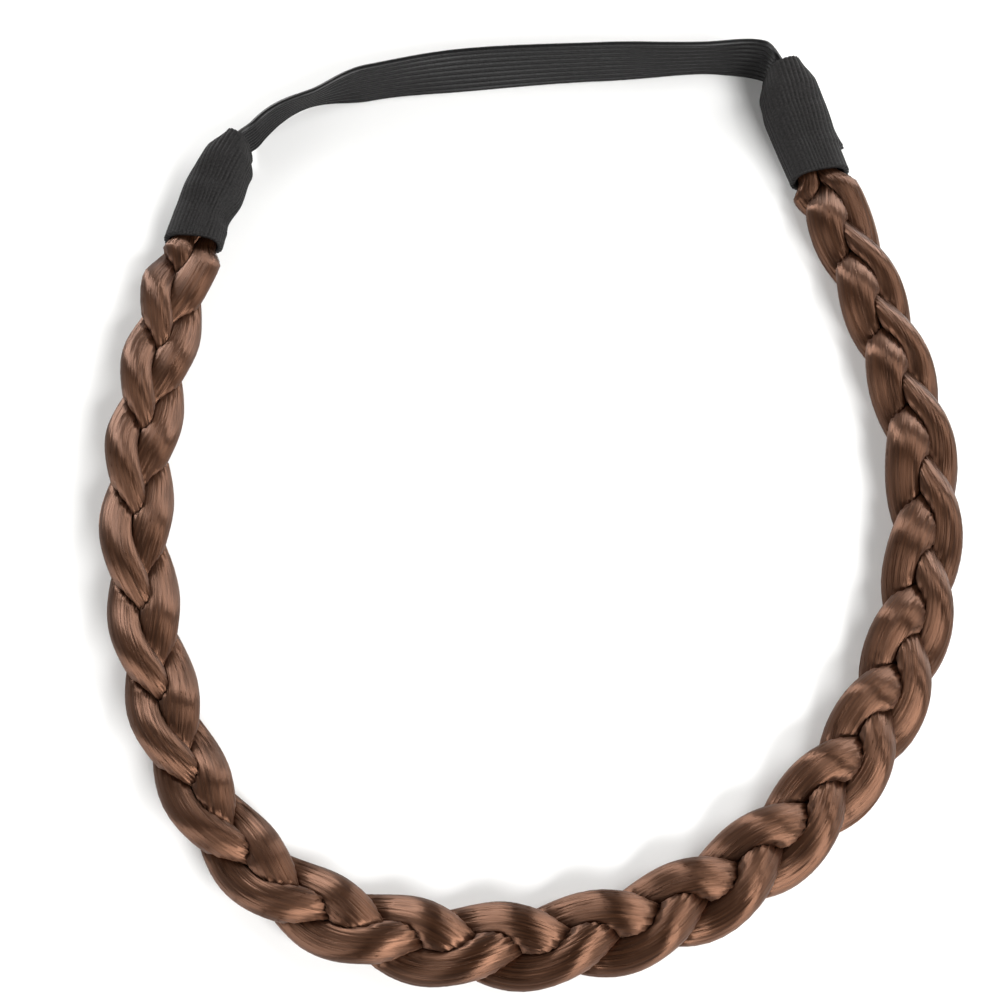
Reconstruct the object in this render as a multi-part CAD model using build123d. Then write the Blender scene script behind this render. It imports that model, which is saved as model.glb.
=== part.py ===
from build123d import *
import math
import os
from collections import namedtuple

# Braided hair headband, lying on its back face: a plait of three locks whose two ends
# are sewn into woven sleeves, joined behind by a ribbed elastic strap that stands on edge.
# Millimetres, +Z up, +Y towards the strap. Origin: middle of the underside of its box.

# The loop, measured along the middle of the plait and of the strap
loop_width = 142.0
loop_depth = 174.0
hem_from_start = 8.3        # the route starts inside the left sleeve; its hem lies this far on

# The plait
braid_length = 358.2        # hem to hem
braid_width = 14.5          # over the lobes, at its widest
braid_height = 9.2          # off the table, at its thickest
lobe_pitch = 15.9           # from lobe to lobe down one edge
lock_gap = 0.75             # air between neighbouring locks
lock_tail = 4.6             # hair held inside each sleeve
mouth_lip = 0.8             # how far past the hem the hair stays pressed together
tail_ease = 3.0             # stretch over which it then swells

# The strap
strap_width = 10.8
strap_thickness = 1.2
strap_ribs = 9
strap_rib_depth = 0.22
strap_tail = 5.0            # strap held inside each sleeve

# The sleeves
sleeve_width = 12.4
sleeve_height = 8.0
sleeve_wall = 1.0
sleeve_ribs = 14
sleeve_rib_depth = 0.16
seat_clearance = 0.25       # round whatever a sleeve holds
left_sleeve_length = 22.4
right_sleeve_length = 23.6
left_hem_slant = 9.0        # degrees
right_hem_slant = -6.0      # degrees
flap_rise = 0.35            # the right sleeve's sewn edge, one more layer of cloth
flap_side = 8.0             # degrees round the sleeve, from its outer side
flap_reach = 95.0           # degrees that the extra layer takes to die away
flap_start = 5.5            # its corner, above the hem
corner_rise = 1.3           # how far that corner sticks out
corner_reach = 30.0         # degrees
corner_length = 3.5
crease_depth = 2.0          # the left sleeve's slanting fold
crease_side = 168.0         # degrees round the sleeve, from its outer side
crease_spread = 34.0        # degrees

# How finely the solids are cut
lock_sides = 9
lock_step = 4.5
lock_turn = 30.0            # degrees that a neighbour moves round a lock between sections
strap_step = 9.0
strap_turn = 15.0           # degrees that the strap turns between sections
search_step = 0.25
route_samples = 30

RoutePoint = namedtuple("RoutePoint", "across along")
PlaitRow = namedtuple("PlaitRow", "share width height")
WeaveRow = namedtuple("WeaveRow", "share slip slant dive roll")
StrapRow = namedtuple("StrapRow", "share lean width")
SleeveRow = namedtuple("SleeveRow", "share width height crease")

# Control points of the closed route: shares of loop_width and loop_depth
route = [
    RoutePoint(-0.397, 0.388),
    RoutePoint(-0.440, 0.311),
    RoutePoint(-0.470, 0.209),
    RoutePoint(-0.493, 0.081),
    RoutePoint(-0.504, -0.055),
    RoutePoint(-0.473, -0.195),
    RoutePoint(-0.415, -0.335),
    RoutePoint(-0.310, -0.444),
    RoutePoint(-0.151, -0.494),
    RoutePoint(0.032, -0.496),
    RoutePoint(0.200, -0.454),
    RoutePoint(0.340, -0.363),
    RoutePoint(0.439, -0.252),
    RoutePoint(0.493, -0.115),
    RoutePoint(0.503, 0.026),
    RoutePoint(0.466, 0.165),
    RoutePoint(0.418, 0.296),
    RoutePoint(0.384, 0.387),
    RoutePoint(0.360, 0.452),
    RoutePoint(0.350, 0.497),
    RoutePoint(0.299, 0.504),
    RoutePoint(0.185, 0.499),
    RoutePoint(0.008, 0.493),
    RoutePoint(-0.194, 0.477),
    RoutePoint(-0.348, 0.440),
]

# Shares of braid_width and braid_height, from the left hem to the right one
plait_rows = [
    PlaitRow(0.00, 0.900, 0.82),
    PlaitRow(0.12, 0.875, 0.86),
    PlaitRow(0.30, 0.870, 0.92),
    PlaitRow(0.50, 0.990, 1.00),
    PlaitRow(0.64, 0.995, 1.00),
    PlaitRow(0.80, 0.925, 0.93),
    PlaitRow(0.92, 0.880, 0.86),
    PlaitRow(1.00, 0.910, 0.82),
]

# How unevenly the hand-made weave runs: the lobes' slip away from the left hem, as a share of
# lobe_pitch; how far its sections slant back towards that hem, as the tangent of the angle;
# how late the locks rise and dive, in radians; and how far the plait rolls its outer lobes
# up and its inner ones down, as a share of its height
weave_rows = [
    WeaveRow(0.00, -0.32, 0.00, -0.20, 0.00),
    WeaveRow(0.04, -0.29, 0.50, -0.20, 0.15),
    WeaveRow(0.12, -0.23, 0.50, -0.20, 0.18),
    WeaveRow(0.25, -0.03, 0.45, 0.05, 0.13),
    WeaveRow(0.38, -0.05, 0.30, 0.25, 0.08),
    WeaveRow(0.50, -0.10, 0.12, 0.45, 0.00),
    WeaveRow(0.62, -0.20, 0.15, 0.35, 0.00),
    WeaveRow(0.75, -0.32, 0.33, 0.10, 0.00),
    WeaveRow(0.88, -0.08, 0.65, 0.00, 0.00),
    WeaveRow(0.96, 0.00, 0.75, 0.00, 0.00),
    WeaveRow(1.00, 0.03, 0.00, 0.00, 0.00),
]

# From the right sleeve round the back to the left one: degrees that the strap's upper edge
# leans outwards, and shares of strap_width
strap_rows = [
    StrapRow(0.00, 0.0, 0.71),
    StrapRow(0.045, 0.0, 0.74),
    StrapRow(0.085, 6.0, 1.00),
    StrapRow(0.18, -4.0, 1.00),
    StrapRow(0.34, 6.0, 1.00),
    StrapRow(0.56, 13.0, 1.00),
    StrapRow(0.72, 2.0, 1.00),
    StrapRow(0.82, -22.0, 0.97),
    StrapRow(0.94, 0.0, 0.73),
    StrapRow(1.00, 0.0, 0.71),
]

# From the hem to the strap's end: shares of sleeve_width, sleeve_height and crease_depth
left_sleeve_rows = [
    SleeveRow(0.00, 0.90, 0.96, 0.1),
    SleeveRow(0.15, 0.90, 0.98, 0.25),
    SleeveRow(0.28, 0.91, 1.00, 1.0),
    SleeveRow(0.50, 0.93, 1.12, 0.1),
    SleeveRow(0.80, 0.80, 1.34, 0.0),
    SleeveRow(1.00, 0.44, 1.40, 0.0),
]
right_sleeve_rows = [
    SleeveRow(0.00, 0.93, 0.96, 0.0),
    SleeveRow(0.30, 0.95, 1.00, 0.0),
    SleeveRow(0.60, 0.98, 1.18, 0.0),
    SleeveRow(0.80, 0.91, 1.38, 0.0),
    SleeveRow(1.00, 0.62, 1.45, 0.0),
]

# Where the sleeves' sections lie, from the hem to the strap's end
sleeve_sections = [0.0, 0.12, 0.235, 0.38, 0.58, 0.80, 1.0]

# Shape of the weave: shares of the plait's local width and height
sway = 0.225                # a lock's middle, to either side
lift = 0.185                # a lock's middle, up and down
lock_half_width = 0.5 - sway
lock_half_height = 0.5 - lift
outer_dive = 0.12           # how much later the outer lobes dive than the mean, in radians
roll_rise = 0.72            # how far a roll raises the plait's middle, as a share of the roll
crowding = 8.0              # how squarely a lock meets its neighbours
sleeve_squareness = 2.6     # 2 is an ellipse


def blend(rows, share, column):
    """Smooth value of a table's column at a share of its length."""
    share = min(max(share, rows[0].share), rows[-1].share)
    for low, high in zip(rows[:-1], rows[1:]):
        if share <= high.share:
            t = (share - low.share) / (high.share - low.share)
            t = t * t * (3 - 2 * t)
            return getattr(low, column) * (1 - t) + getattr(high, column) * t
    return getattr(rows[-1], column)


def walk_route():
    """Closed cubic B-spline through the route's table, as (distance, x, y, heading)."""
    points = []
    count = len(route)
    for i in range(count):
        quad = [route[(i + j) % count] for j in range(4)]
        for j in range(route_samples):
            t = j / route_samples
            weight = [(1 - t) ** 3, 3 * t ** 3 - 6 * t ** 2 + 4, 1 + 3 * t + 3 * t ** 2 - 3 * t ** 3, t ** 3]
            x = loop_width * sum(w * q.across for w, q in zip(weight, quad)) / 6
            y = loop_depth * sum(w * q.along for w, q in zip(weight, quad)) / 6
            points.append((x, y))
    points.append(points[0])
    stations = []
    distance = 0.0
    heading = None
    for here, there in zip(points[:-1], points[1:]):
        dx = there[0] - here[0]
        dy = there[1] - here[1]
        turn = math.atan2(dy, dx)
        if heading is not None:
            turn = heading + math.remainder(turn - heading, math.tau)
        heading = turn
        stations.append((distance, here[0], here[1], heading))
        distance += math.hypot(dx, dy)
    stations.append((distance, points[-1][0], points[-1][1], stations[0][3] + math.tau))
    return stations


stations = walk_route()
loop_length = stations[-1][0]


def place(distance):
    """Point and heading of the route at a distance from its start, either way round."""
    laps, rest = divmod(distance, loop_length)
    low, high = 0, len(stations) - 1
    while high - low > 1:
        middle = (low + high) // 2
        if stations[middle][0] <= rest:
            low = middle
        else:
            high = middle
    a, b = stations[low], stations[high]
    t = (rest - a[0]) / (b[0] - a[0])
    x, y, heading = (a[k] + t * (b[k] - a[k]) for k in (1, 2, 3))
    return x, y, heading + laps * math.tau


def lay(distance, outward, up, forward=0.0):
    """Point of space at a distance along the route, an offset outwards and a height."""
    x, y, heading = place(distance)
    x += outward * math.sin(heading) + forward * math.cos(heading)
    y += forward * math.sin(heading) - outward * math.cos(heading)
    return x, y, up


left_hem = hem_from_start
right_hem = left_hem + braid_length
left_sleeve_top = left_hem - left_sleeve_length
right_sleeve_top = right_hem + right_sleeve_length
strap_start = right_sleeve_top - strap_tail
strap_end = loop_length + left_sleeve_top + strap_tail

# Room at the hems for the plait, and the sleeves' height where the strap leaves them
mouth_share = min(left_sleeve_rows[0].width, right_sleeve_rows[0].width)
sleeve_top_height = sleeve_height * left_sleeve_rows[-1].height


def plait_size(distance):
    """Width, height and middle height of the plait at a distance along the route."""
    share = (distance - left_hem) / braid_length
    width = braid_width * blend(plait_rows, share, "width")
    height = braid_height * blend(plait_rows, share, "height")
    inside = max(left_hem - distance, distance - right_hem) + mouth_lip
    ease = min(max(1 + inside / tail_ease, 0.0), 1.0)
    ease = ease * ease * (3 - 2 * ease)
    held_width = mouth_share * sleeve_width - 2 * (sleeve_wall + seat_clearance + sleeve_rib_depth)
    held_height = mouth_share * sleeve_height - 2 * (sleeve_wall + seat_clearance + sleeve_rib_depth)
    raised = height * (0.5 + roll_rise * blend(weave_rows, share, "roll"))
    middle = raised * (1 - ease) + sleeve_height / 2 * ease
    return width + (held_width - width) * ease, height + (held_height - height) * ease, middle


def weave_phase(distance, lock):
    """Where a lock is in its weave, in radians: 0 at the outer edge, pi at the inner one."""
    share = (distance - left_hem) / braid_length
    lobes = (distance - left_hem) / lobe_pitch - blend(weave_rows, share, "slip")
    return math.tau * (lobes - lock) / 3


def lock_middle(distance, lock):
    """Middle of a lock across the plait: outward and upward of the plait's own middle."""
    width, height, _ = plait_size(distance)
    share = (distance - left_hem) / braid_length
    phase = weave_phase(distance, lock)
    side = math.cos(phase)
    dive = blend(weave_rows, share, "dive") + outer_dive * side
    roll = blend(weave_rows, share, "roll")
    return sway * width * side, height * (lift * math.sin(2 * phase - dive) + roll * side)


def lock_ring(distance, lock):
    """Section of a lock: its own oval, pressed flat against its two neighbours."""
    width, height, middle = plait_size(distance)
    slant = blend(weave_rows, (distance - left_hem) / braid_length, "slant")
    own_u, own_v = lock_middle(distance, lock)
    others = [lock_middle(distance, other) for other in range(3) if other != lock]
    ring = []
    for side in range(lock_sides):
        angle = math.tau * side / lock_sides
        cu, cv = math.cos(angle), -math.sin(angle)
        oval = math.hypot(cu / (lock_half_width * width), cv / (lock_half_height * height))
        tightness = oval ** crowding
        for other_u, other_v in others:
            du, dv = other_u - own_u, other_v - own_v
            apart = math.hypot(du, dv)
            facing = max((cu * du + cv * dv) / apart, 0.0)
            tightness += (facing / (apart / 2 - lock_gap / 2)) ** crowding
        reach = tightness ** (-1 / crowding)
        outward = own_u + reach * cu
        ring.append(lay(distance, outward, middle + own_v + reach * cv, -slant * outward))
    return ring


def neighbour_angles(distance, lock):
    """Directions across the plait from a lock's middle to those of the other two."""
    own_u, own_v = lock_middle(distance, lock)
    angles = []
    for other in range(3):
        if other != lock:
            other_u, other_v = lock_middle(distance, other)
            angles.append(math.atan2(other_v - own_v, other_u - own_u))
    return angles


def section_places(start, end, longest, most_turn, angles_at):
    """Distances of the sections from start to end, closer together where an angle changes."""
    places = [start]
    last = angles_at(start)
    distance = start
    while distance < end - longest / 2:
        distance += search_step
        here = angles_at(distance)
        turned = max(abs(math.remainder(a - b, math.tau)) for a, b in zip(here, last))
        if distance - places[-1] >= longest or math.degrees(turned) >= most_turn:
            places.append(distance)
            last = here
    places.append(end)
    return places


def lock_rings(lock):
    """Sections of one lock from inside the left sleeve to inside the right one."""
    start = left_hem - lock_tail
    end = right_hem + lock_tail
    places = section_places(start, end, lock_step, lock_turn, lambda d: neighbour_angles(d, lock))
    return [lock_ring(distance, lock) for distance in places]


def strap_share(distance):
    return (distance - strap_start) / (strap_end - strap_start)


def strap_pose(distance):
    """Half width, lean in radians and middle height of the strap."""
    share = strap_share(distance)
    half = strap_width * blend(strap_rows, share, "width") / 2
    lean = math.radians(blend(strap_rows, share, "lean"))
    on_table = half * math.cos(lean) + strap_thickness / 2 * abs(math.sin(lean))
    inside = max(strap_start + strap_tail - distance, distance - strap_end + strap_tail)
    ease = min(max(1 + inside / strap_tail, 0.0), 1.0)
    ease = ease * ease * (3 - 2 * ease)
    lifted = max(sleeve_top_height / 2, on_table)
    return half, lean, on_table + (lifted - on_table) * ease


def strap_ring(distance):
    """Section of the strap, ribbed on both faces."""
    half, lean, middle = strap_pose(distance)
    corners = []
    steps = 2 * strap_ribs
    for face in (1, -1):
        for i in range(steps + 1):
            rise = face * half * (1 - 2 * i / steps)
            proud = strap_rib_depth * math.sin(math.pi * i / 2) ** 2
            corners.append((face * (strap_thickness / 2 - strap_rib_depth + proud), rise))
    ring = []
    for out, rise in corners:
        outward = out * math.cos(lean) + rise * math.sin(lean)
        upward = rise * math.cos(lean) - out * math.sin(lean)
        ring.append(lay(distance, outward, middle + upward))
    return ring


def strap_rings():
    """Sections of the strap from sleeve to sleeve, with one at each sleeve's end."""
    stops = [strap_start, strap_start + strap_tail, strap_end - strap_tail, strap_end]
    places = [strap_start]
    for begin, end in zip(stops[:-1], stops[1:]):
        places += section_places(begin, end, strap_step, strap_turn, lambda d: [place(d)[2]])[1:]
    return [strap_ring(distance) for distance in places]


def sleeve_ring(rows, share, distance, inset, ribs, above, shear):
    """One loop of points round a sleeve, set in from its outer face, some way above the flap's corner."""
    half_width = sleeve_width * blend(rows, share, "width") / 2
    half_height = sleeve_height * blend(rows, share, "height") / 2
    fold = crease_depth * blend(rows, share, "crease")
    ring = []
    sides = 2 * sleeve_ribs
    for side in range(sides):
        angle = math.tau * side / sides
        cu, cv = math.cos(angle), -math.sin(angle)
        a, b = half_width - inset, half_height - inset
        power = sleeve_squareness
        reach = ((abs(cu) / a) ** power + (abs(cv) / b) ** power) ** (-1 / power)
        if ribs:
            reach -= sleeve_rib_depth * (side % 2)
        if above >= 0:
            past = (flap_side - math.degrees(angle)) % 360
            corner = max(1 - above / corner_length, 0.0) * max(1 - past / corner_reach, 0.0)
            reach += flap_rise * max(1 - past / flap_reach, 0.0) + corner_rise * corner
        off = math.remainder(math.degrees(angle) + crease_side, 360) / crease_spread
        reach -= fold * math.exp(-off * off)
        ring.append(lay(distance, reach * cu, half_height + reach * cv, reach * cu * shear))
    return ring


def sleeve_rings(rows, hem, top, slant, flapped):
    """Outer and inner loops of a sleeve, from its hem to the strap."""
    outer, inner = [], []
    length = abs(top - hem)
    for share in sleeve_sections:
        distance = hem + (top - hem) * share
        shear = math.tan(math.radians(slant)) * (1 - share)
        above = share * length - flap_start if flapped else -1.0
        outer.append(sleeve_ring(rows, share, distance, 0.0, True, above, shear))
        inner.append(sleeve_ring(rows, share, distance, sleeve_wall, False, -1.0, shear))
    if top < hem:
        outer.reverse()
        inner.reverse()
    return outer, inner


def flat_face(points):
    return Face(Wire.make_polygon([Vector(*p) - origin for p in points], close=True))


def skin(rings, outwards):
    """Triangles between loops of points that follow one another."""
    faces = []
    for low, high in zip(rings[:-1], rings[1:]):
        count = len(low)
        for i in range(count):
            j = (i + 1) % count
            pair = [(low[i], low[j], high[j]), (low[i], high[j], high[i])]
            faces += [flat_face(t if outwards else t[::-1]) for t in pair]
    return faces


def closed_solid(rings):
    """Solid bar through a row of loops, with flat ends."""
    faces = skin(rings, True)
    faces.append(flat_face(rings[0][::-1]))
    faces.append(flat_face(rings[-1]))
    return Solid(Shell(faces))


def hollow_solid(outer, inner):
    """Wall between two rows of loops, open at both ends."""
    faces = skin(outer, True) + skin(inner, False)
    for out, inn, first in ((outer[0], inner[0], True), (outer[-1], inner[-1], False)):
        count = len(out)
        for i in range(count):
            j = (i + 1) % count
            edge = [out[i], inn[i], inn[j], out[j]]
            faces.append(flat_face(edge if first else edge[::-1]))
    return Solid(Shell(faces))


lock_loops = {f"lock_{lock + 1}": lock_rings(lock) for lock in range(3)}
strap_loops = strap_rings()
left_loops = sleeve_rings(left_sleeve_rows, left_hem, left_sleeve_top, left_hem_slant, False)
right_loops = sleeve_rings(right_sleeve_rows, right_hem, right_sleeve_top, right_hem_slant, True)

# The origin goes to the middle of the underside of the whole headband
all_loops = sum(lock_loops.values(), strap_loops + left_loops[0] + right_loops[0])
every_point = [point for loop in all_loops for point in loop]
low = [min(point[axis] for point in every_point) for axis in range(3)]
high = [max(point[axis] for point in every_point) for axis in range(3)]
origin = Vector((low[0] + high[0]) / 2, (low[1] + high[1]) / 2, low[2])

solids = {name: closed_solid(loops) for name, loops in lock_loops.items()}
solids["sleeve_left"] = hollow_solid(*left_loops)
solids["sleeve_right"] = hollow_solid(*right_loops)
solids["elastic_strap"] = closed_solid(strap_loops)

os.makedirs("parts", exist_ok=True)
for name, solid in solids.items():
    export_step(solid, f"parts/{name}.step")
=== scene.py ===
import math

import bmesh
import bpy
import numpy as np
from mathutils import Matrix, Vector


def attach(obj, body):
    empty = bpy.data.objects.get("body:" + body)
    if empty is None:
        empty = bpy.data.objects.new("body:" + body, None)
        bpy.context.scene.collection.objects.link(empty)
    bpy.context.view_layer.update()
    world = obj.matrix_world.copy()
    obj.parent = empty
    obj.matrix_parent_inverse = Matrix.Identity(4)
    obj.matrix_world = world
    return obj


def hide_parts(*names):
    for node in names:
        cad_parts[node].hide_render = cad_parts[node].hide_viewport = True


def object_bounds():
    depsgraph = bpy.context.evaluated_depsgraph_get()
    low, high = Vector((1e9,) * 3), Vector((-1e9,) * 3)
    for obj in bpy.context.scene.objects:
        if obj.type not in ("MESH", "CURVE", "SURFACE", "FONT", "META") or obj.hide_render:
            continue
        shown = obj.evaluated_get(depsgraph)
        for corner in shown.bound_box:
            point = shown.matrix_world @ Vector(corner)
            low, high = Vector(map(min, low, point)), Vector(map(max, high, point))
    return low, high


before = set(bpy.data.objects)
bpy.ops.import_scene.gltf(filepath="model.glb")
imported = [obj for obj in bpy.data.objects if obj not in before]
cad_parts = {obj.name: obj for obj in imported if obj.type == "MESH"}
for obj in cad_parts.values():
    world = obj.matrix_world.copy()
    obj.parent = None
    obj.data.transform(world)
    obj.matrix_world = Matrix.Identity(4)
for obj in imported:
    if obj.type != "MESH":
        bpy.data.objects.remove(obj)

cadLow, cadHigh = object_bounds()
mm = 0.001
seamGap = 1e-7               # metres within which the points along a seam are merged

# The closed route of the headband: plait, sleeves and strap lie along it
loop = {
    "width": 142 * mm,
    "depth": 174 * mm,
    "hemFromStart": 8.3 * mm,
    "braidLength": 358.2 * mm,
    "leftSleeve": 22.4 * mm,
    "rightSleeve": 23.6 * mm,
    "sleeveHeight": 8 * mm,   # at the hems
    "samples": 60,            # per control point
}
# Columns: share of the width, share of the depth
routePoints = [
    (-0.397, 0.388), (-0.440, 0.311), (-0.470, 0.209), (-0.493, 0.081), (-0.504, -0.055),
    (-0.473, -0.195), (-0.415, -0.335), (-0.310, -0.444), (-0.151, -0.494), (0.032, -0.496),
    (0.200, -0.454), (0.340, -0.363), (0.439, -0.252), (0.493, -0.115), (0.503, 0.026),
    (0.466, 0.165), (0.418, 0.296), (0.384, 0.387), (0.360, 0.452), (0.350, 0.497),
    (0.299, 0.504), (0.185, 0.499), (0.008, 0.493), (-0.194, 0.477), (-0.348, 0.440),
]


def smooth(t):
    # from 0 to 1 with a level start and end
    return t * t * (3 - 2 * t)


def eased(rows, column, share):
    # smooth value of one column of a table whose first column is a share
    rows = np.array(rows)
    share = np.clip(share, rows[0, 0], rows[-1, 0])
    i = np.clip(np.searchsorted(rows[:, 0], share, side="right") - 1, 0, len(rows) - 2)
    t = smooth((share - rows[i, 0]) / (rows[i + 1, 0] - rows[i, 0]))
    return rows[i, column] * (1 - t) + rows[i + 1, column] * t


def walkRoute():
    # closed cubic B-spline: distances, points and headings over three laps, and the length of one
    control = np.array(routePoints) * (loop["width"], loop["depth"])
    t = np.arange(loop["samples"])[:, None] / loop["samples"]
    weights = ((1 - t) ** 3, 3 * t ** 3 - 6 * t ** 2 + 4, 1 + 3 * t + 3 * t ** 2 - 3 * t ** 3, t ** 3)
    spans = []
    for i in range(len(control)):
        quad = [control[(i + j) % len(control)] for j in range(4)]
        spans.append(sum(w * q for w, q in zip(weights, quad)) / 6)
    points = np.vstack(spans)
    step = np.roll(points, -1, 0) - points
    heading = np.unwrap(np.arctan2(step[:, 1], step[:, 0]))
    distance = np.concatenate([[0], np.cumsum(np.hypot(step[:, 0], step[:, 1]))])
    length = distance[-1]
    heading = (heading + np.concatenate([[heading[-1] - math.tau], heading[:-1]])) / 2
    threeLaps = [(distance[:-1] + k * length, points, heading + k * math.tau) for k in (-1, 0, 1)]
    return [np.concatenate(part) for part in zip(*threeLaps)] + [length]


routeDistance, routePlace, routeHeading, loopLength = walkRoute()
leftHem = loop["hemFromStart"]
rightHem = leftHem + loop["braidLength"]


def lay(distance, outward, up, forward=0.0):
    # a point beside the route: outward of the loop, up from the table, forward along the route
    x = np.interp(distance, routeDistance, routePlace[:, 0])
    y = np.interp(distance, routeDistance, routePlace[:, 1])
    heading = np.interp(distance, routeDistance, routeHeading)
    x = x + outward * np.sin(heading) + forward * np.cos(heading)
    y = y - outward * np.cos(heading) + forward * np.sin(heading)
    return np.stack([x, y, up + 0 * x], -1)


print("route laid out,", round(loopLength / mm), "mm round")

plait = {
    "width": 14.5 * mm,
    "height": 9.2 * mm,
    "pitch": 15.9 * mm,
    "sway": 0.225,            # a lock's middle to either side, as a share of the width
    "lift": 0.185,            # and up and down, as a share of the height
    "outerDive": 0.12,        # radians that the outer lobes dive later than the mean
    "rollRise": 0.72,         # how far a roll raises the plait's middle, as a share of the roll
    "gap": 0.16 * mm,         # air between neighbouring locks
    "crowding": 18,           # how squarely a lock meets its neighbours
    "pressed": 0.80,          # shares of its own oval at which a lock's skin is held flat
    "open": 0.98,             # and at which it bulges freely
    "tail": 4.6 * mm,         # hair held inside each sleeve
    "lip": 0.3 * mm,          # how far past the hem the hair stays pressed together
    "ease": 3.2 * mm,         # stretch over which it then swells
    "heldWidth": 8.7 * mm,
    "heldHeight": 5.3 * mm,
    "lowest": 0.02 * mm,      # the hair keeps this far off the table
    "around": 240,            # points round a lock
    "step": 1.3 * mm,
}
# Columns: share of the plait's length, share of its width, share of its height
plaitRows = [
    (0.00, 0.900, 0.82), (0.12, 0.875, 0.86), (0.30, 0.870, 0.92), (0.50, 0.990, 1.00),
    (0.64, 0.995, 1.00), (0.80, 0.925, 0.93), (0.92, 0.880, 0.86), (1.00, 0.910, 0.82),
]
# Columns: share of the plait's length, the lobes' slip in pitches, how far the weave slants
# back, how late the locks dive in radians, and how far the plait rolls as a share of its height
weaveRows = [
    (0.00, -0.32, 0.00, -0.20, 0.00), (0.04, -0.29, 0.50, -0.20, 0.15),
    (0.12, -0.23, 0.50, -0.20, 0.18), (0.25, -0.03, 0.45, 0.05, 0.13),
    (0.38, -0.05, 0.30, 0.25, 0.08), (0.50, -0.10, 0.12, 0.45, 0.00),
    (0.62, -0.20, 0.15, 0.35, 0.00), (0.75, -0.32, 0.33, 0.10, 0.00),
    (0.88, -0.08, 0.65, 0.00, 0.00), (0.96, 0.00, 0.75, 0.00, 0.00), (1.00, 0.03, 0.00, 0.00, 0.00),
]


def plaitSize(distance):
    # width, height and middle height of the plait
    share = (distance - leftHem) / loop["braidLength"]
    width = plait["width"] * eased(plaitRows, 1, share)
    height = plait["height"] * eased(plaitRows, 2, share)
    inside = np.maximum(leftHem - distance, distance - rightHem) + plait["lip"]
    held = smooth(np.clip(1 + inside / plait["ease"], 0, 1))
    raised = height * (0.5 + plait["rollRise"] * eased(weaveRows, 4, share))
    middle = raised * (1 - held) + loop["sleeveHeight"] / 2 * held
    width = width + (plait["heldWidth"] - width) * held
    height = height + (plait["heldHeight"] - height) * held
    return width, height, middle


def lockMiddle(distance, lock):
    # middle of a lock, outward and upward of the plait's own middle
    width, height, _ = plaitSize(distance)
    share = (distance - leftHem) / loop["braidLength"]
    lobes = (distance - leftHem) / plait["pitch"] - eased(weaveRows, 1, share)
    phase = math.tau * (lobes - lock) / 3
    dive = eased(weaveRows, 3, share) + plait["outerDive"] * np.cos(phase)
    rise = plait["lift"] * np.sin(2 * phase - dive) + eased(weaveRows, 4, share) * np.cos(phase)
    return plait["sway"] * width * np.cos(phase), height * rise


def lockSurface(distance, angle, lock, proud=0.0):
    # point on a lock's skin, and how freely it bulges there: 1 in the open, 0 pressed
    width, height, middle = plaitSize(distance)
    ownU, ownV = lockMiddle(distance, lock)
    cu, cv = np.cos(angle), -np.sin(angle)
    oval = np.hypot(cu / ((0.5 - plait["sway"]) * width), cv / ((0.5 - plait["lift"]) * height))
    tightness = oval ** plait["crowding"]
    for other in range(3):
        if other != lock:
            otherU, otherV = lockMiddle(distance, other)
            apart = np.hypot(otherU - ownU, otherV - ownV)
            facing = np.maximum((cu * (otherU - ownU) + cv * (otherV - ownV)) / apart, 0)
            tightness = tightness + (facing / (apart / 2 - plait["gap"] / 2)) ** plait["crowding"]
    reach = tightness ** (-1 / plait["crowding"])
    free = np.clip((reach * oval - plait["pressed"]) / (plait["open"] - plait["pressed"]), 0, 1)
    reach = reach + proud * free
    outward = ownU + reach * cu
    slant = eased(weaveRows, 2, (distance - leftHem) / loop["braidLength"])
    return lay(distance, outward, middle + ownV + reach * cv, -slant * outward), free


def fibreNoise(around, along, cellsAround, cellsAlong, seed):
    # smooth random streaks, closed round the lock; around and along run from 0 to 1
    grid = np.random.default_rng(seed).uniform(-1, 1, (cellsAround, cellsAlong + 2))
    x, y = around * cellsAround, along * cellsAlong
    i, j = np.floor(x).astype(int), np.floor(y).astype(int)
    tx, ty = smooth(x - i), smooth(y - j)
    i0, i1 = i % cellsAround, (i + 1) % cellsAround
    low = grid[i0, j] * (1 - tx) + grid[i1, j] * tx
    high = grid[i0, j + 1] * (1 - tx) + grid[i1, j + 1] * tx
    return low * (1 - ty) + high * ty


def laidGrid(bm, points):
    # adds a grid of faces to bm whose vertices lie at points, row by row
    rows, columns = points.shape[:2]
    made = bmesh.ops.create_grid(bm, x_segments=columns - 1, y_segments=rows - 1, size=0.5, calc_uvs=True)
    place = points.reshape(-1, 3).tolist()
    for vert in made["verts"]:
        column = round((vert.co.x + 0.5) * (columns - 1))
        row = round((vert.co.y + 0.5) * (rows - 1))
        vert.co = place[row * columns + column]


def finishSkin(bm, name, capped):
    # closes the seams, fills the ends if capped, and makes an object of it
    seam = [v for v in bm.verts if v.is_boundary]
    bmesh.ops.remove_doubles(bm, verts=seam, dist=seamGap)
    if capped:
        bmesh.ops.holes_fill(bm, edges=[e for e in bm.edges if e.is_boundary], sides=0)
    bmesh.ops.recalc_face_normals(bm, faces=bm.faces)
    for face in bm.faces:
        face.smooth = True
    mesh = bpy.data.meshes.new(name)
    bm.to_mesh(mesh)
    bm.free()
    piece = bpy.data.objects.new(name, mesh)
    bpy.context.scene.collection.objects.link(piece)
    return piece


def gridSkin(name, points, capped=False):
    # skin from a grid of rows whose first and last columns meet
    bm = bmesh.new()
    bm.loops.layers.uv.new("UVMap")
    laidGrid(bm, points)
    return finishSkin(bm, name, capped)


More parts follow.
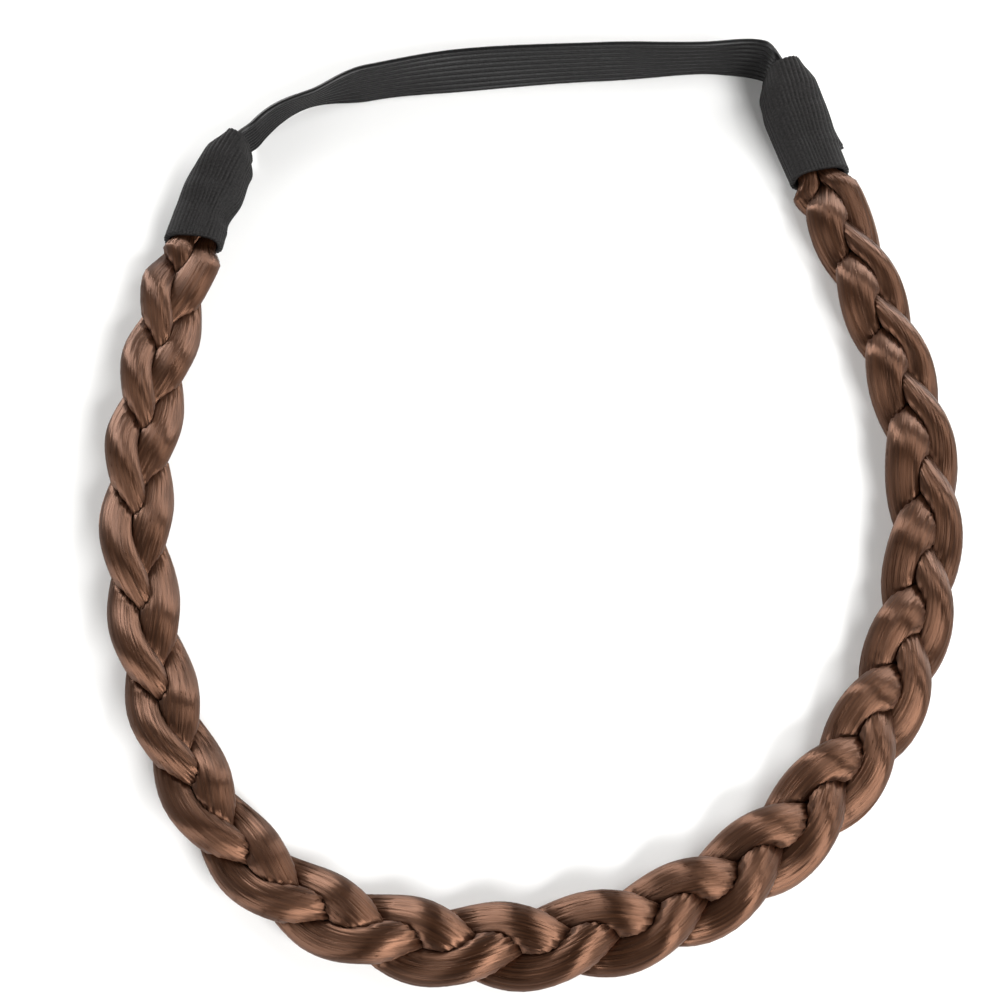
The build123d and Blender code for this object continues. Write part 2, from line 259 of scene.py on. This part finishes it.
wisps = {
    "wide": (0.09 * mm, 19),      # depth of the creases, and how many noise cells round a lock
    "narrow": (0.05 * mm, 46),
    "fine": (0.03 * mm, 88),
    "along": 30,              # cells from end to end for the wide ones, more for each finer size
    "steepness": 2.2,         # over 1 narrows the creases
    "roundness": 0.7,         # under 1 sharpens the creases and flattens the crowns
    "swing": 0.6,             # from crease to crown, as a share of the depth
    "sink": 0.2,              # how far the creases lie under the plain skin, as a share of the depth
    "seedStep": 10,
}


def makeLock(lock):
    columns = plait["around"] + 1
    start, end = leftHem - plait["tail"], rightHem + plait["tail"]
    rows = round((end - start) / plait["step"]) + 1
    along, around = np.meshgrid(np.linspace(0, 1, rows), np.linspace(0, 1, columns), indexing="ij")
    rise = 0
    for size, (depth, cells) in enumerate((wisps["wide"], wisps["narrow"], wisps["fine"])):
        seed = wisps["seedStep"] * size + lock
        noise = fibreNoise(around, along, cells, wisps["along"] * (size + 1), seed)
        crown = np.minimum(np.abs(noise) * wisps["steepness"], 1) ** wisps["roundness"]
        rise = rise + depth * (wisps["swing"] * crown - wisps["sink"])
    points, _ = lockSurface(start + (end - start) * along, math.tau * around, lock, rise)
    points[..., 2] = np.maximum(points[..., 2], plait["lowest"])
    return gridSkin(f"lock_{lock + 1}_hair", points, capped=True)


locks = [makeLock(lock) for lock in range(3)]
print("locks plaited")

strands = {
    "count": 44,              # raised strands on each lock
    "radius": 0.055 * mm,
    "thickness": (0.6, 1.2),  # thinnest and thickest, as shares of the radius
    "sides": 4,
    "step": 2.2 * mm,
    "tail": 2 * mm,           # how far they run into each sleeve
    "uneven": 0.4,            # how far one starts off its place, as a share of their spacing
    "wander": 0.22,           # radians
    "wanderNoise": (0.1, 5, 22),  # line of the noise, cells round a lock and from end to end
    "proud": 0.07 * mm,
    "proudNoise": (0.3, 5, 40),
    "sunk": 2,                # radii that a strand lies under the skin where locks press together
    "looseCount": 18,         # stray hairs on each lock
    "looseRadius": 0.03 * mm,
    "looseLength": (14 * mm, 34 * mm),
    "looseRise": (0.1 * mm, 0.45 * mm),
    "looseAngles": (3.6, 5.8),    # radians round the lock, on its upper side
    "looseTurn": 0.6,         # radians that a stray hair drifts round its lock
    "looseMargin": 4 * mm,    # kept clear of the hems
    "loosePoints": 15,
    "clearOfTable": 0.1 * mm,
    "seed": 40,
    "proudSeed": 5000,
    "seedsPerLock": 1000,
}


def laidStrand(bm, lock, distance, angle, proud, radius):
    # one strand as a thin tube on the lock's skin
    path, free = lockSurface(distance, angle, lock, proud)
    sunk, _ = lockSurface(distance, angle, lock, -strands["sunk"] * strands["radius"])
    path = sunk + (path - sunk) * free[:, None]
    path[:, 2] = np.maximum(path[:, 2], strands["clearOfTable"])
    ownU, ownV = lockMiddle(distance, lock)
    centre = lay(distance, ownU, plaitSize(distance)[2] + ownV)
    forward = np.gradient(path, axis=0)
    forward /= np.linalg.norm(forward, axis=1)[:, None]
    side = np.cross(forward, path - centre)
    side /= np.linalg.norm(side, axis=1)[:, None]
    top = np.cross(side, forward)
    turn = np.linspace(0, math.tau, strands["sides"] + 1)
    across = np.cos(turn)[None, :, None] * side[:, None, :] + np.sin(turn)[None, :, None] * top[:, None, :]
    laidGrid(bm, path[:, None, :] + radius * across)


def strandNoise(share, settings, seed):
    line, cellsAround, cellsAlong = settings
    return fibreNoise(0 * share + line, share, cellsAround, cellsAlong, seed)


def makeStrands(lock):
    random = np.random.default_rng(strands["seed"] + lock)
    bm = bmesh.new()
    bm.loops.layers.uv.new("UVMap")
    start, end = leftHem - strands["tail"], rightHem + strands["tail"]
    distance = np.linspace(start, end, round((end - start) / strands["step"]))
    share = np.linspace(0, 0.999, len(distance))      # just short of the noise's end
    for i in range(strands["count"]):
        seed = strands["seedsPerLock"] * lock + i
        lean = strandNoise(share, strands["wanderNoise"], seed)
        place = i + random.uniform(-strands["uneven"], strands["uneven"])
        angle = math.tau * place / strands["count"] + strands["wander"] * lean
        proud = strands["proud"] * strandNoise(share, strands["proudNoise"], strands["proudSeed"] + seed)
        radius = strands["radius"] * random.uniform(*strands["thickness"])
        laidStrand(bm, lock, distance, angle, proud, radius)
    for i in range(strands["looseCount"]):
        length = random.uniform(*strands["looseLength"])
        first, last = leftHem + strands["looseMargin"], rightHem - strands["looseMargin"]
        begin = random.uniform(first, last - length)
        t = np.linspace(0, 1, strands["loosePoints"])
        upward = random.uniform(*strands["looseAngles"])
        angle = upward + strands["looseTurn"] * random.uniform(-1, 1) * t
        proud = random.uniform(*strands["looseRise"]) * np.sin(math.pi * t) ** 2
        laidStrand(bm, lock, begin + length * t, angle, proud, strands["looseRadius"])
    return finishSkin(bm, f"lock_{lock + 1}_strands", capped=True)


strandPieces = [makeStrands(lock) for lock in range(3)]
print("strands laid on the locks")

strap = {
    "width": 10.8 * mm,
    "thickness": 1.25 * mm,
    "ribs": 9,
    "ribDepth": 0.30 * mm,
    "ribShape": 1.3,          # over 1 narrows the ribs, under 1 the grooves
    "edgeShare": 0.25,        # of a rib: the strap thickens over this much from its edges
    "tail": 5 * mm,           # strap held inside each sleeve
    "middleInSleeve": 0.70 * loop["sleeveHeight"],    # lowest height of its middle there
    "step": 0.5 * mm,
    "pointsPerRib": 8,
}
# Columns: share of the strap's length, degrees that it leans outwards, share of its width
strapRows = [
    (0.000, 0, 0.71), (0.045, 0, 0.74), (0.085, 6, 1.00), (0.180, -4, 1.00), (0.340, 6, 1.00),
    (0.560, 13, 1.00), (0.720, 2, 1.00), (0.820, -22, 0.97), (0.940, 0, 0.73), (1.000, 0, 0.71),
]


def makeStrap():
    start = rightHem + loop["rightSleeve"] - strap["tail"]
    end = loopLength + leftHem - loop["leftSleeve"] + strap["tail"]
    rows = round((end - start) / strap["step"]) + 1
    columns = 2 * strap["ribs"] * strap["pointsPerRib"] + 1
    along, around = np.meshgrid(np.linspace(0, 1, rows), np.linspace(0, 1, columns), indexing="ij")
    distance = start + (end - start) * along
    half = strap["width"] * eased(strapRows, 2, along) / 2
    lean = np.radians(eased(strapRows, 1, along))
    face = np.where(around < 0.5, 1, -1)
    down = np.where(around >= 1, 1, (around * 2) % 1)
    rise = face * half * (1 - 2 * down)
    groove = np.abs(np.sin(math.pi * strap["ribs"] * down)) ** strap["ribShape"]
    core = strap["thickness"] / 2 - strap["ribDepth"]
    fromEdge = strap["ribs"] * np.minimum(down, 1 - down)
    out = face * (core * np.minimum(1, fromEdge / strap["edgeShare"]) + strap["ribDepth"] * groove)
    onTable = half * np.cos(lean) + strap["thickness"] / 2 * np.abs(np.sin(lean))
    inside = np.maximum(start + strap["tail"] - distance, distance - end + strap["tail"])
    held = smooth(np.clip(1 + inside / strap["tail"], 0, 1))
    middle = onTable + (np.maximum(strap["middleInSleeve"], onTable) - onTable) * held
    outward = out * np.cos(lean) + rise * np.sin(lean)
    upward = rise * np.cos(lean) - out * np.sin(lean)
    points = lay(distance, outward, middle + upward)
    return gridSkin("strap_webbing", points, capped=True), end - start


strapPiece, strapLength = makeStrap()
print("strap laid")

sleeves = {
    "width": 12.4 * mm,
    "wall": 0.9 * mm,
    "squareness": 2.6,        # 2 is an ellipse
    "leftGirth": 33 * mm,     # opened out flat
    "rightGirth": 35 * mm,
    "leftSlant": 9,           # degrees that the hem runs askew
    "rightSlant": -6,
    "ribs": 38,
    "ribDepth": 0.22 * mm,
    "ribShape": 0.6,          # over 1 narrows the ribs, under 1 the grooves
    "pointsPerRib": 6,
    "step": 0.4 * mm,
    "innerCoarseness": 3,     # rows of the outer side for each row of the inner side
    "flapRise": 0.35 * mm,    # the right sleeve's sewn edge, one more layer of cloth
    "flapSide": 8.0,          # degrees
    "flapReach": 95.0,        # degrees
    "flapStart": 5.5 * mm,
    "flapEdge": 0.4 * mm,
    "cornerRise": 1.3 * mm,
    "cornerReach": 30.0,      # degrees
    "cornerLength": 3.5 * mm,
    "creaseDepth": 2 * mm,
    "creaseSide": 168.0,      # degrees
    "creaseSpread": 34.0,     # degrees
}
# Columns: share from hem to strap, share of the width, share of the height, of creaseDepth
leftSleeveRows = [
    (0.00, 0.90, 0.96, 0.10), (0.15, 0.90, 0.98, 0.25), (0.28, 0.91, 1.00, 1.00),
    (0.50, 0.93, 1.12, 0.10), (0.80, 0.80, 1.34, 0.00), (1.00, 0.44, 1.40, 0.00),
]
rightSleeveRows = [
    (0.00, 0.93, 0.96, 0.00), (0.30, 0.95, 1.00, 0.00), (0.60, 0.98, 1.18, 0.00),
    (0.80, 0.91, 1.38, 0.00), (1.00, 0.62, 1.45, 0.00),
]


def sewnEdge(above, degrees):
    # how far the sewn edge and its corner stand out, at a height above the edge's start
    past = (sleeves["flapSide"] - degrees) % 360
    layer = np.maximum(1 - past / sleeves["flapReach"], 0)
    cornerUp = np.maximum(1 - above / sleeves["cornerLength"], 0)
    cornerRound = np.maximum(1 - past / sleeves["cornerReach"], 0)
    proud = sleeves["flapRise"] * layer + sleeves["cornerRise"] * (cornerUp * cornerRound)
    return proud, np.clip(above / sleeves["flapEdge"], 0, 1)


def makeSleeve(name, rows, hem, top, slant, flapped):
    # down the outer side from strap to hem, back up the inner side, and closed at the top
    length = abs(top - hem)
    outerCount = round(length / sleeves["step"]) + 1
    innerCount = outerCount // sleeves["innerCoarseness"]
    share = np.concatenate([np.linspace(1, 0, outerCount), np.linspace(0, 1, innerCount), [1.0]])
    inset = np.concatenate([np.zeros(outerCount), np.full(innerCount, sleeves["wall"]), [0.0]])
    ribbed = np.concatenate([np.ones(outerCount), np.zeros(innerCount), [1.0]])
    around = np.linspace(0, 1, sleeves["ribs"] * sleeves["pointsPerRib"] + 1)
    share, inset, ribbed = (a[:, None] + 0 * around[None, :] for a in (share, inset, ribbed))
    angle = math.tau * around[None, :] + 0 * share
    degrees = np.degrees(angle)
    cu, cv = np.cos(angle), -np.sin(angle)
    halfWidth = sleeves["width"] * eased(rows, 1, share) / 2
    halfHeight = loop["sleeveHeight"] * eased(rows, 2, share) / 2
    power = sleeves["squareness"]
    reach = ((np.abs(cu) / (halfWidth - inset)) ** power
             + (np.abs(cv) / (halfHeight - inset)) ** power) ** (-1 / power)
    groove = np.abs(np.sin(math.pi * sleeves["ribs"] * around[None, :])) ** sleeves["ribShape"]
    reach = reach - ribbed * sleeves["ribDepth"] * (1 - groove)
    if flapped:
        proud, started = sewnEdge(share * length - sleeves["flapStart"], degrees)
        reach = reach + ribbed * proud * started
    off = ((degrees + sleeves["creaseSide"] + 180) % 360 - 180) / sleeves["creaseSpread"]
    reach = reach - sleeves["creaseDepth"] * eased(rows, 3, share) * np.exp(-off * off)
    shear = math.tan(math.radians(slant)) * (1 - share)
    distance = hem + (top - hem) * share
    points = lay(distance, reach * cu, halfHeight + reach * cv, reach * cu * shear)
    return gridSkin(name, points)


leftSleeve = makeSleeve("sleeve_left_cloth", leftSleeveRows, leftHem, leftHem - loop["leftSleeve"],
                        sleeves["leftSlant"], flapped=False)
rightSleeve = makeSleeve("sleeve_right_cloth", rightSleeveRows, rightHem, rightHem + loop["rightSleeve"],
                         sleeves["rightSlant"], flapped=True)
print("sleeves sewn")

# Everything moves together to the middle of the frame's box
pieces = locks + strandPieces + [strapPiece, leftSleeve, rightSleeve]
corners = np.vstack([np.array([v.co for v in p.data.vertices]) for p in locks + [strapPiece]])
middle = (Vector(corners.min(0)) + Vector(corners.max(0))) / 2
target = (cadLow + cadHigh) / 2
for piece in pieces:
    piece.data.transform(Matrix.Translation((target.x - middle.x, target.y - middle.y, 0)))


def newMaterial(name):
    material = bpy.data.materials.new(name)
    material.use_nodes = True
    nodes, links = material.node_tree.nodes, material.node_tree.links
    return material, nodes, links, nodes["Principled BSDF"]


def surfaceMap(nodes):
    uv = nodes.new("ShaderNodeUVMap")
    uv.uv_map = "UVMap"
    return uv


def twoColours(nodes, links, value, fade, low, high):
    # blends two colours between the two values of fade
    ramp = nodes.new("ShaderNodeValToRGB")
    for element, position, colour in zip(ramp.color_ramp.elements, fade, (low, high)):
        element.position = position
        element.color = colour
    links.new(value, ramp.inputs["Fac"])
    return ramp.outputs["Color"]


hairLook = {
    "dark": (0.004, 0.0015, 0.0008, 1),
    "mid": (0.028, 0.011, 0.005, 1),
    "shine": (1.0, 0.51, 0.32, 1),
    "fade": (0.35, 0.70),     # noise values of the dark and the mid colour
    "roughness": 0.40,
    "anisotropy": 0.95,
    "refraction": 1.55,
    "fibreTilt": 0.08,        # how far single fibres turn to the side, and up and down
    "fibrePitch": 0.028,
    "wispPitch": 0.03,        # and how far whole wisps do
    "noiseRange": (0.25, 0.75),   # noise values that turn the hair fully one way and the other
    # Noise cells round a lock and from end to end, and detail
    "shadeCells": (60, 12, 4),
    "tiltCells": (210, 16, 3),
    "pitchCells": (190, 26, 2),
    "wispCells": (26, 20, 2),
}


def streakNoise(nodes, links, uv, cells):
    # noise drawn out along the hair
    around, along, detail = cells
    spread = nodes.new("ShaderNodeMapping")
    spread.inputs["Scale"].default_value = (around, along, 1)
    links.new(uv.outputs["UV"], spread.inputs["Vector"])
    noise = nodes.new("ShaderNodeTexNoise")
    noise.noise_dimensions = "2D"
    noise.inputs["Scale"].default_value = 1.0
    noise.inputs["Detail"].default_value = detail
    links.new(spread.outputs["Vector"], noise.inputs["Vector"])
    return noise.outputs["Fac"]


def bending(nodes, links, uv, cells, amount):
    # streaks from -amount to amount
    spread = nodes.new("ShaderNodeMapRange")
    spread.inputs["From Min"].default_value = hairLook["noiseRange"][0]
    spread.inputs["From Max"].default_value = hairLook["noiseRange"][1]
    spread.inputs["To Min"].default_value = -amount
    spread.inputs["To Max"].default_value = amount
    links.new(streakNoise(nodes, links, uv, cells), spread.inputs["Value"])
    return spread.outputs["Result"]


def added(nodes, links, first, second):
    total = nodes.new("ShaderNodeMath")
    total.operation = "ADD"
    for socket, value in zip(total.inputs, (first, second)):
        if isinstance(value, float):
            socket.default_value = value
        else:
            links.new(value, socket)
    return total.outputs["Value"]


def hairMaterial():
    # fibres that shine across their length, turned a little by a normal map made of noise
    material, nodes, links, shader = newMaterial("chestnut hair")
    uv = surfaceMap(nodes)
    shade = streakNoise(nodes, links, uv, hairLook["shadeCells"])
    colour = twoColours(nodes, links, shade, hairLook["fade"], hairLook["dark"], hairLook["mid"])
    links.new(colour, shader.inputs["Base Color"])
    tilt = bending(nodes, links, uv, hairLook["tiltCells"], hairLook["fibreTilt"])
    fine = bending(nodes, links, uv, hairLook["pitchCells"], hairLook["fibrePitch"])
    broad = bending(nodes, links, uv, hairLook["wispCells"], hairLook["wispPitch"])
    packed = nodes.new("ShaderNodeCombineXYZ")
    links.new(added(nodes, links, tilt, 0.5), packed.inputs["X"])
    links.new(added(nodes, links, added(nodes, links, fine, broad), 0.5), packed.inputs["Y"])
    packed.inputs["Z"].default_value = 1.0
    bent = nodes.new("ShaderNodeNormalMap")
    bent.uv_map = "UVMap"
    links.new(packed.outputs["Vector"], bent.inputs["Color"])
    links.new(bent.outputs["Normal"], shader.inputs["Normal"])
    tangent = nodes.new("ShaderNodeTangent")
    tangent.direction_type = "UV_MAP"
    tangent.uv_map = "UVMap"
    links.new(tangent.outputs["Tangent"], shader.inputs["Tangent"])
    shader.inputs["Roughness"].default_value = hairLook["roughness"]
    shader.inputs["IOR"].default_value = hairLook["refraction"]
    shader.inputs["Specular IOR Level"].default_value = 1.0
    shader.inputs["Specular Tint"].default_value = hairLook["shine"]
    shader.inputs["Anisotropic"].default_value = hairLook["anisotropy"]
    return material


sleeveLook = {
    "dark": (0.005, 0.0048, 0.0048, 1),
    "light": (0.021, 0.0196, 0.0194, 1),
    "cells": (76, 90, 1),     # noise cells round the sleeve and from end to end
    "sheen": 0.14,
    "roughness": 0.62,
}
strapLook = {
    "dark": (0.002, 0.0019, 0.0020, 1),
    "light": (0.007, 0.0066, 0.0068, 1),
    "cells": (36, 240, 1),
    "sheen": 0.24,
    "roughness": 0.40,
}
yarn = {
    "detail": 4.0,
    "fade": (0.3, 0.7),       # noise values of the dark and the light colour
    "bump": 0.5,
    "bumpHeight": 0.1 * mm,
}


def clothMaterial(name, look):
    # woven elastic: a fine uneven yarn in colour and in height
    material, nodes, links, shader = newMaterial(name)
    spread = nodes.new("ShaderNodeMapping")
    spread.inputs["Scale"].default_value = look["cells"]
    links.new(surfaceMap(nodes).outputs["UV"], spread.inputs["Vector"])
    noise = nodes.new("ShaderNodeTexNoise")
    noise.inputs["Scale"].default_value = 1.0
    noise.inputs["Detail"].default_value = yarn["detail"]
    links.new(spread.outputs["Vector"], noise.inputs["Vector"])
    colour = twoColours(nodes, links, noise.outputs["Fac"], yarn["fade"], look["dark"], look["light"])
    links.new(colour, shader.inputs["Base Color"])
    bump = nodes.new("ShaderNodeBump")
    bump.inputs["Strength"].default_value = yarn["bump"]
    bump.inputs["Distance"].default_value = yarn["bumpHeight"]
    links.new(noise.outputs["Fac"], bump.inputs["Height"])
    links.new(bump.outputs["Normal"], shader.inputs["Normal"])
    shader.inputs["Roughness"].default_value = look["roughness"]
    shader.inputs["Specular IOR Level"].default_value = look["sheen"]
    return material


hair = hairMaterial()
sleeveCloth = clothMaterial("charcoal sleeve cloth", sleeveLook)
strapCloth = clothMaterial("charcoal strap elastic", strapLook)

dressed = [(piece, hair, "hair") for piece in locks + strandPieces]
dressed += [(leftSleeve, sleeveCloth, "sleeve_cloth"), (rightSleeve, sleeveCloth, "sleeve_cloth")]
dressed += [(strapPiece, strapCloth, "strap_elastic")]
for piece, material, slot in dressed:
    piece.data.materials.append(material)
for piece in pieces:
    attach(piece, "root")
for number, piece in enumerate(locks, 1):
    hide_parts(f"lock_{number}")
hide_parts("sleeve_left")
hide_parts("sleeve_right")
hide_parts("elastic_strap")
print("hair and cloth coloured")

# Floor, light and camera
studio = {
    "camera": (-5.9 * mm, -117.6 * mm, 281.8 * mm),
    "tilt": 22.0,             # degrees up from straight down
    "lens": 60.0,
    "sensor": 36,
    "nearest": 0.01,          # metres from the camera
    "floorReach": 3,          # metres
    "floor": (0.90, 0.90, 0.89, 1),
    "floorRoughness": 0.6,
    "skyLow": (0.54, 0.53, 0.52, 1),
    "skyHigh": (0.03, 0.03, 0.03, 1),
    "skyFade": (0.55, 0.86),  # heights at which the sky starts and stops darkening
    "lightAway": 0.8,         # metres from the middle of the floor
}
# Columns: name, degrees round from +X, degrees up, width and height in metres, watts
studioLights = [
    ("window", 13, 46, 0.40, 0.32, 3.0),
    ("front", 306, 38, 0.42, 0.30, 7.4),
    ("back left", 126, 18, 0.30, 0.24, 4.4),
    ("back right", 54, 18, 0.40, 0.30, 3.2),
    ("left", 216, 18, 0.40, 0.30, 2.8),
]


def layFloor():
    mesh = bpy.data.meshes.new("floor")
    bm = bmesh.new()
    bmesh.ops.create_grid(bm, x_segments=1, y_segments=1, size=studio["floorReach"])
    bm.to_mesh(mesh)
    bm.free()
    floor = bpy.data.objects.new("floor", mesh)
    bpy.context.scene.collection.objects.link(floor)
    paper, _, _, shader = newMaterial("pale floor")
    shader.inputs["Base Color"].default_value = studio["floor"]
    shader.inputs["Roughness"].default_value = studio["floorRoughness"]
    mesh.materials.append(paper)


def areaLight(name, turn, up, width, height, power):
    data = bpy.data.lights.new(name, "AREA")
    data.shape = "RECTANGLE"
    data.size, data.size_y = width, height
    data.energy = power
    turn, up = math.radians(turn), math.radians(up)
    towards = Vector((math.cos(up) * math.cos(turn), math.cos(up) * math.sin(turn), math.sin(up)))
    light = bpy.data.objects.new(name, data)
    light.location = studio["lightAway"] * towards
    light.rotation_euler = (-towards).to_track_quat("-Z", "Y").to_euler()
    bpy.context.scene.collection.objects.link(light)


def makeSky():
    # bright near the horizon and dark overhead
    world = bpy.data.worlds.new("studio")
    world.use_nodes = True
    nodes, links = world.node_tree.nodes, world.node_tree.links
    skyward = nodes.new("ShaderNodeTexCoord")
    heights = nodes.new("ShaderNodeSeparateXYZ")
    links.new(skyward.outputs["Generated"], heights.inputs["Vector"])
    colour = twoColours(nodes, links, heights.outputs["Z"], studio["skyFade"],
                        studio["skyLow"], studio["skyHigh"])
    links.new(colour, nodes["Background"].inputs["Color"])
    bpy.context.scene.world = world


def placeCamera():
    data = bpy.data.cameras.new("camera")
    data.lens = studio["lens"]
    data.sensor_width = studio["sensor"]
    data.clip_start = studio["nearest"]
    camera = bpy.data.objects.new("camera", data)
    camera.location = studio["camera"]
    camera.rotation_euler = (math.radians(studio["tilt"]), 0, 0)
    bpy.context.scene.collection.objects.link(camera)
    bpy.context.scene.camera = camera


layFloor()
for row in studioLights:
    areaLight(*row)
makeSky()
bpy.context.scene.view_settings.view_transform = "Standard"
placeCamera()
print("studio ready")
